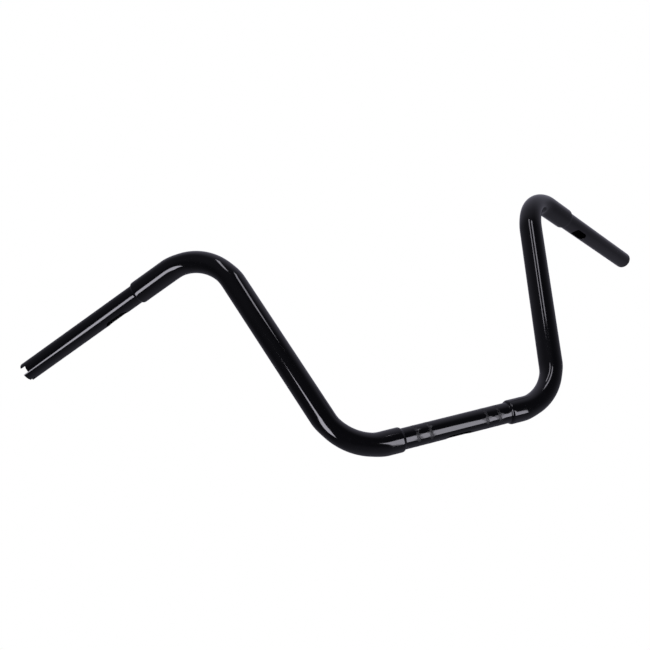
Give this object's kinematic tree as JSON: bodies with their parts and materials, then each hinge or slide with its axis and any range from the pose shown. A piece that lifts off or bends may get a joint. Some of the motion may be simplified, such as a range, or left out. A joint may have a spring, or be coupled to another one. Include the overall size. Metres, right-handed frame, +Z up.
{
  "type": "ape hanger handlebar",
  "caption": "Tall wide motorbike handlebar in fat black tube, with a thin clamp tube in the middle and thin swept-back grip ends slotted for hidden wires.",
  "frame": {"origin": "middle of the clamp tube, on its centre line, where the risers hold it", "axes": "+X along the clamp tube to the rider's left (clutch side), +Y back to the rider, +Z up, with the uprights in the XZ plane"},
  "size_m": [0.9698, 0.2149, 0.3189],
  "materials": {
    "gloss_black_coat": "gloss black powder coat over steel tube"
  },
  "bodies": {
    "root": {"clamp_tube": "gloss_black_coat", "throttle_riser_tube": "gloss_black_coat", "clutch_riser_tube": "gloss_black_coat", "throttle_grip_tube": "gloss_black_coat", "clutch_grip_tube": "gloss_black_coat"}
  },
  "joints": []
}
